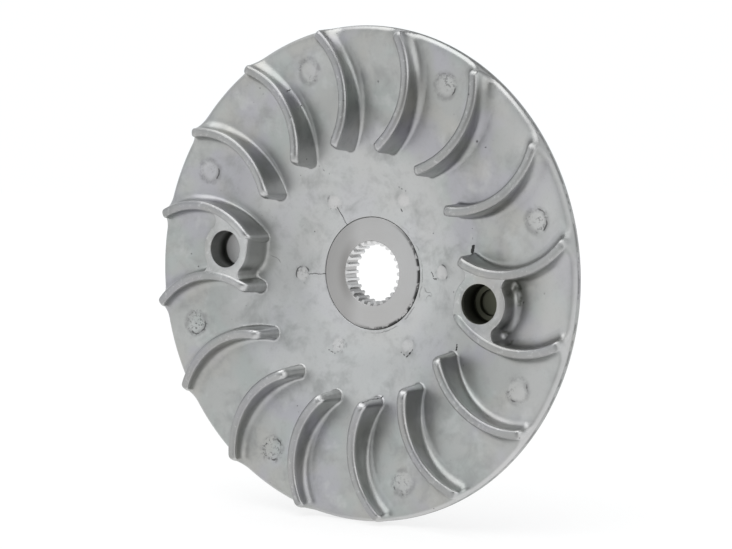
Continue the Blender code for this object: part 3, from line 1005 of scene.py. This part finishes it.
    # Among these layers are painted light round the hub, on the floor at the right, on the rim's lower
    # right, along the blades' upper edges and on the left hole's floor, and painted shade round the bosses,
    # in the right boss's corners and in the tool holes
    colour = layered(colour, (
        (tint.part("X").ramp(0.47, 0.63) * 0.8, (0.386, 0.413, 0.402, 1.0)),
        (tint.part("Z").ramp(0.47, 0.63) * 0.8, (0.400, 0.397, 0.427, 1.0)),
        (tint.part("Y").ramp(0.50, 0.66) * 0.6, (0.424, 0.418, 0.396, 1.0)),
        (milk.ramp(0.54, 0.7) * 0.5, (0.500, 0.506, 0.502, 1.0)),
        (painted_hub_light * 0.65, (0.545, 0.552, 0.552, 1.0)),
        (smudges.ramp(0.49, 0.72) * 0.6, (0.285, 0.292, 0.288, 1.0)),
        (blotches.ramp(0.5, 0.72) * 0.28, grey(0.30)),
        (painted_right_sheen * 0.4, grey(0.53)),
        (crest * 0.5, grey(0.29)),
        (painted_boss_shade * 0.3, (0.180, 0.185, 0.165, 1.0)),
        (pusher * (0.25 + 0.5 * nearer - 0.2 * aged), grey(0.57, 0.006)),
        (grain.ramp(0.5, 0.8) * 0.14, grey(0.28)),
        (painted_edge_highlight, grey(0.64)),
        (wear * 0.4, grey(0.62)),
        (painted_hole_light * 0.9, grey(0.85)),
        (halo * (0.5 - 0.32 * nearer), grey(0.20)),
        (speckled * 0.7, grey(0.10)),
        (seam * 0.5, grey(0.09)),
        (painted_corner_shade * 0.75, (0.040, 0.045, 0.028, 1.0)),
        (scribble * 0.8, grey(0.07)),
        (crack * 0.8, grey(0.07)),
        (pit * 0.8, grey(0.08)),
        (chip * 0.95, grey(0.02)),
        (olive, (0.420, 0.430, 0.330, 1.0)),
        (dirt_and_shade, (0.006, 0.007, 0.003, 1.0)),
    ))
    colour.into(shader["Base Color"])
    matt = 0.09 * smudges + 0.07 * blotches + 0.2 * dirt_and_shade + 0.3 * painted_hole_light + 0.2 * painted_corner_shade + 0.25 * dull_rim
    (0.29 + matt).into(shader["Roughness"])
    shader["Metallic"].default_value = 1.0
    height = 0.00006 * clouds + 0.00003 * smudges + 0.00001 * blotches + 0.0000025 * grain
    height = height + 0.00002 * pusher - 0.00004 * scribble
    height = height - 0.00005 * crack - 0.00005 * pit - 0.00005 * chip
    bumped(height).into(shader["Normal"])
    return made


def turned_face():
    """Belt face, turned smooth: fine rings and a brighter sheen."""
    made, shader, place = new_material("turned_face")
    radius, _ = around_bore(place)
    outwards = place.add("ShaderNodeCombineXYZ", None, {0: radius})
    rings = outwards.noise(6000.0, 2.0)
    bands = outwards.noise(700.0, 2.0)
    clouds = place.noise(60.0, 3.0)
    mix = rings * 0.4 + bands * 0.3 + clouds * 0.3
    colour = mix.ramp(0.3, 0.7).blend(grey(0.46), grey(0.55, 0.004))
    colour.into(shader["Base Color"])
    (0.24 + 0.12 * rings + 0.06 * bands).into(shader["Roughness"])
    shader["Metallic"].default_value = 1.0
    bumped(0.0000015 * rings + 0.000004 * bands).into(shader["Normal"])
    return made


def hub_steel():
    """Turned steel: fine rings, painted shade over the left of the ring, painted light on the spline teeth,
    and dirt packed into the joint.
    """
    made, shader, place = new_material("hub_steel")
    radius, angle = around_bore(place)
    rings = place.add("ShaderNodeCombineXYZ", None, {0: radius}).noise(5000.0, 2.0)
    clouds = place.noise(90.0, 3.0)
    colour = (rings * 0.4 + clouds * 0.6).ramp(0.3, 0.7).blend(grey(0.42, 0.012), grey(0.48))
    packed = radius.ramp(HUB_RADIUS - 0.0009, HUB_RADIUS - 0.0003)
    dirt_and_shade = packed * towards_dirt(angle).ramp(-0.2, 0.9) * place.noise(650.0, 3.0).ramp(0.38, 0.5)
    # Painted light on the spline teeth in the bore, paler towards the top
    painted_bore_light = radius.ramp(SPLINE_MAJOR_RADIUS + 0.0001, SPLINE_MAJOR_RADIUS - 0.0001)
    # Painted shade over the left of the ring, deepest at the bore's edge
    painted_left_shade = place.part("X").ramp(-0.003, -0.009) * (0.4 + 0.4 * radius.ramp(0.0115, 0.0085))
    colour = layered(colour, (
        (painted_left_shade, grey(0.22, 0.03)),
        (painted_bore_light * place.part("Z").ramp(-0.007, -0.001, 0.2, 0.9), grey(0.75)),
        (dirt_and_shade * 0.9, grey(0.03)),
    ))
    colour.into(shader["Base Color"])
    (0.33 + 0.1 * clouds + 0.3 * dirt_and_shade).into(shader["Roughness"])
    shader["Metallic"].default_value = 1.0
    bumped(0.0000012 * rings + 0.00001 * clouds - 0.00005 * dirt_and_shade).into(shader["Normal"])
    return made


# Studio


def bearing(azimuth, elevation):
    """Direction from the object, with azimuth 0 towards the fan side and 90 towards +X, in degrees."""
    around, up = math.radians(azimuth), math.radians(elevation)
    return Vector((math.sin(around) * math.cos(up), -math.cos(around) * math.cos(up), math.sin(up)))


def make_studio():
    """Lamps, a white screen behind, pale patches left and in front, and a dark one round the camera."""
    world = bpy.data.worlds.new("studio")
    bpy.context.scene.world = world
    world.use_nodes = True
    start = Wire(world.node_tree)
    facing = start.add("ShaderNodeTexCoord", output="Generated")

    def patch(azimuth, elevation, outer, inner):
        """Soft round patch of the surroundings: 1 within its inner angle, 0 beyond its outer one."""
        inputs = {0: facing, 1: bearing(azimuth, elevation)}
        towards = facing.add("ShaderNodeVectorMath", {"operation": "DOT_PRODUCT"}, inputs, "Value")
        return towards.ramp(math.cos(math.radians(outer)), math.cos(math.radians(inner)))

    screen = facing.part("Y").ramp(-0.25, 0.2) * facing.part("Z").ramp(0.75, 0.3)
    left = patch(-95.0, 5.0, 75.0, 35.0)
    camera = patch(34.0, -6.0, 36.0, 12.0)
    front = patch(-28.0, 3.0, 58.0, 20.0)
    bright = (0.75 * screen).math("MAXIMUM", 0.55 * left)
    bright = bright.math("MAXIMUM", 0.63 * front)
    level = (0.27 + bright) * (1.0 - 0.80 * camera)
    background = world.node_tree.nodes["Background"].inputs
    background["Color"].default_value = (0.98, 1.0, 1.015, 1.0)
    level.into(background["Strength"])
    for lamp in LAMPS:
        make_lamp(*lamp)


def make_floor():
    """Pale floor that looks white but still takes the object's shadow, and is darker far out in front."""
    bm = bmesh.new()
    bmesh.ops.create_circle(bm, cap_ends=True, radius=STAGE_RADIUS, segments=STAGE_SEGMENTS)
    floor = new_object("studio_floor", bm)
    floor.data.transform(Matrix.Translation((0.0, 0.0, -RIM_RADIUS)))
    made = bpy.data.materials.new("studio_floor")
    made.use_nodes = True
    tree = made.node_tree
    tree.nodes.remove(tree.nodes["Principled BSDF"])
    start = Wire(tree)
    seen = start.add("ShaderNodeLightPath", output="Is Camera Ray")
    for ray in ("Is Glossy Ray", "Is Transmission Ray"):
        seen = seen.math("MAXIMUM", start.add("ShaderNodeLightPath", output=ray))
    spot = start.add("ShaderNodeTexCoord", output="Object")
    inputs = {0: spot, 1: bearing(50.0, 0.0)}
    ahead = start.add("ShaderNodeVectorMath", {"operation": "DOT_PRODUCT"}, inputs, "Value")
    paleness = ahead.ramp(0.12, 0.45, 1.0, 0.3)
    glowing = length(spot.part("X"), spot.part("Y")).ramp(0.2, 1.4, 0.72, 0.89)
    pale = start.add("ShaderNodeBsdfDiffuse", None, {"Color": paleness.blend(grey(0.0), grey(0.3))})
    glow = start.add("ShaderNodeEmission", None, {"Strength": glowing * seen * paleness})
    both = start.add("ShaderNodeAddShader", None, {0: pale, 1: glow})
    both.into(tree.nodes["Material Output"].inputs["Surface"])
    floor.data.materials.append(made)


def make_lamp(name, azimuth, elevation, distance, width, height, brightness):
    """Soft lamp that faces the object, with a brightness where 1 is white."""
    lamp = bpy.data.lights.new(name, "AREA")
    lamp.shape = "RECTANGLE"
    lamp.size = width
    lamp.size_y = height
    lamp.energy = brightness * math.pi * width * height
    stand = bpy.data.objects.new(name, lamp)
    towards = bearing(azimuth, elevation)
    stand.location = towards * distance
    stand.rotation_euler = towards.to_track_quat("Z", "Y").to_euler()
    stand.visible_camera = False
    bpy.context.scene.collection.objects.link(stand)


def make_camera():
    """Camera at the photograph's viewing angle."""
    back = bearing(CAMERA_AZIMUTH, CAMERA_ELEVATION)
    right = polar(1.0, math.radians(CAMERA_AZIMUTH)).to_3d()
    up = back.cross(right)
    place = back * CAMERA_DISTANCE + right * CAMERA_SHIFT_RIGHT + up * CAMERA_SHIFT_UP
    place -= Vector((0.0, RIM_TOP, 0.0))
    lens = bpy.data.cameras.new("camera")
    lens.lens = CAMERA_LENS_MM
    lens.sensor_width = CAMERA_SENSOR_MM
    lens.clip_start, lens.clip_end = CAMERA_CLIP
    camera = bpy.data.objects.new("camera", lens)
    camera.matrix_world = Matrix((right, up, back)).transposed().to_4x4()
    camera.location = place
    bpy.context.scene.collection.objects.link(camera)
    bpy.context.scene.camera = camera


def main():
    bpy.context.scene.view_settings.view_transform = "Standard"
    make_camera()
    make_studio()
    make_floor()
    casting = {
        "Blade": make_blade(),
        "Blades": BLADE_COUNT,
        "First blade": BLADE_TURN,
        "Boss": make_boss(),
        "Bosses": BOSS_COUNT,
        "Drill": make_drill("tool_hole", HOLE_RADIUS, HOLE_FLOOR, HOLE_ROUND),
        "Step drill": make_drill("tool_hole_step", STEP_RADIUS, HOLE_FLOOR - STEP_DEPTH, 0.0),
        "Collar": make_collar("collar_pocket", COLLAR_GAP),
        "Cast skin": cast_skin(),
        "Turned face": turned_face(),
    }
    finish_piece(make_disc(), casting_tree(), casting, "fan_disc")
    insert = {
        "Tooth": make_tooth(),
        "Teeth": SPLINE_TEETH,
        "Collar": make_collar("hub_collar", 0.0),
        "Reamer": make_reamer(),
        "Steel": hub_steel(),
    }
    finish_piece(make_blank(), hub_tree(), insert, "splined_hub")


main()
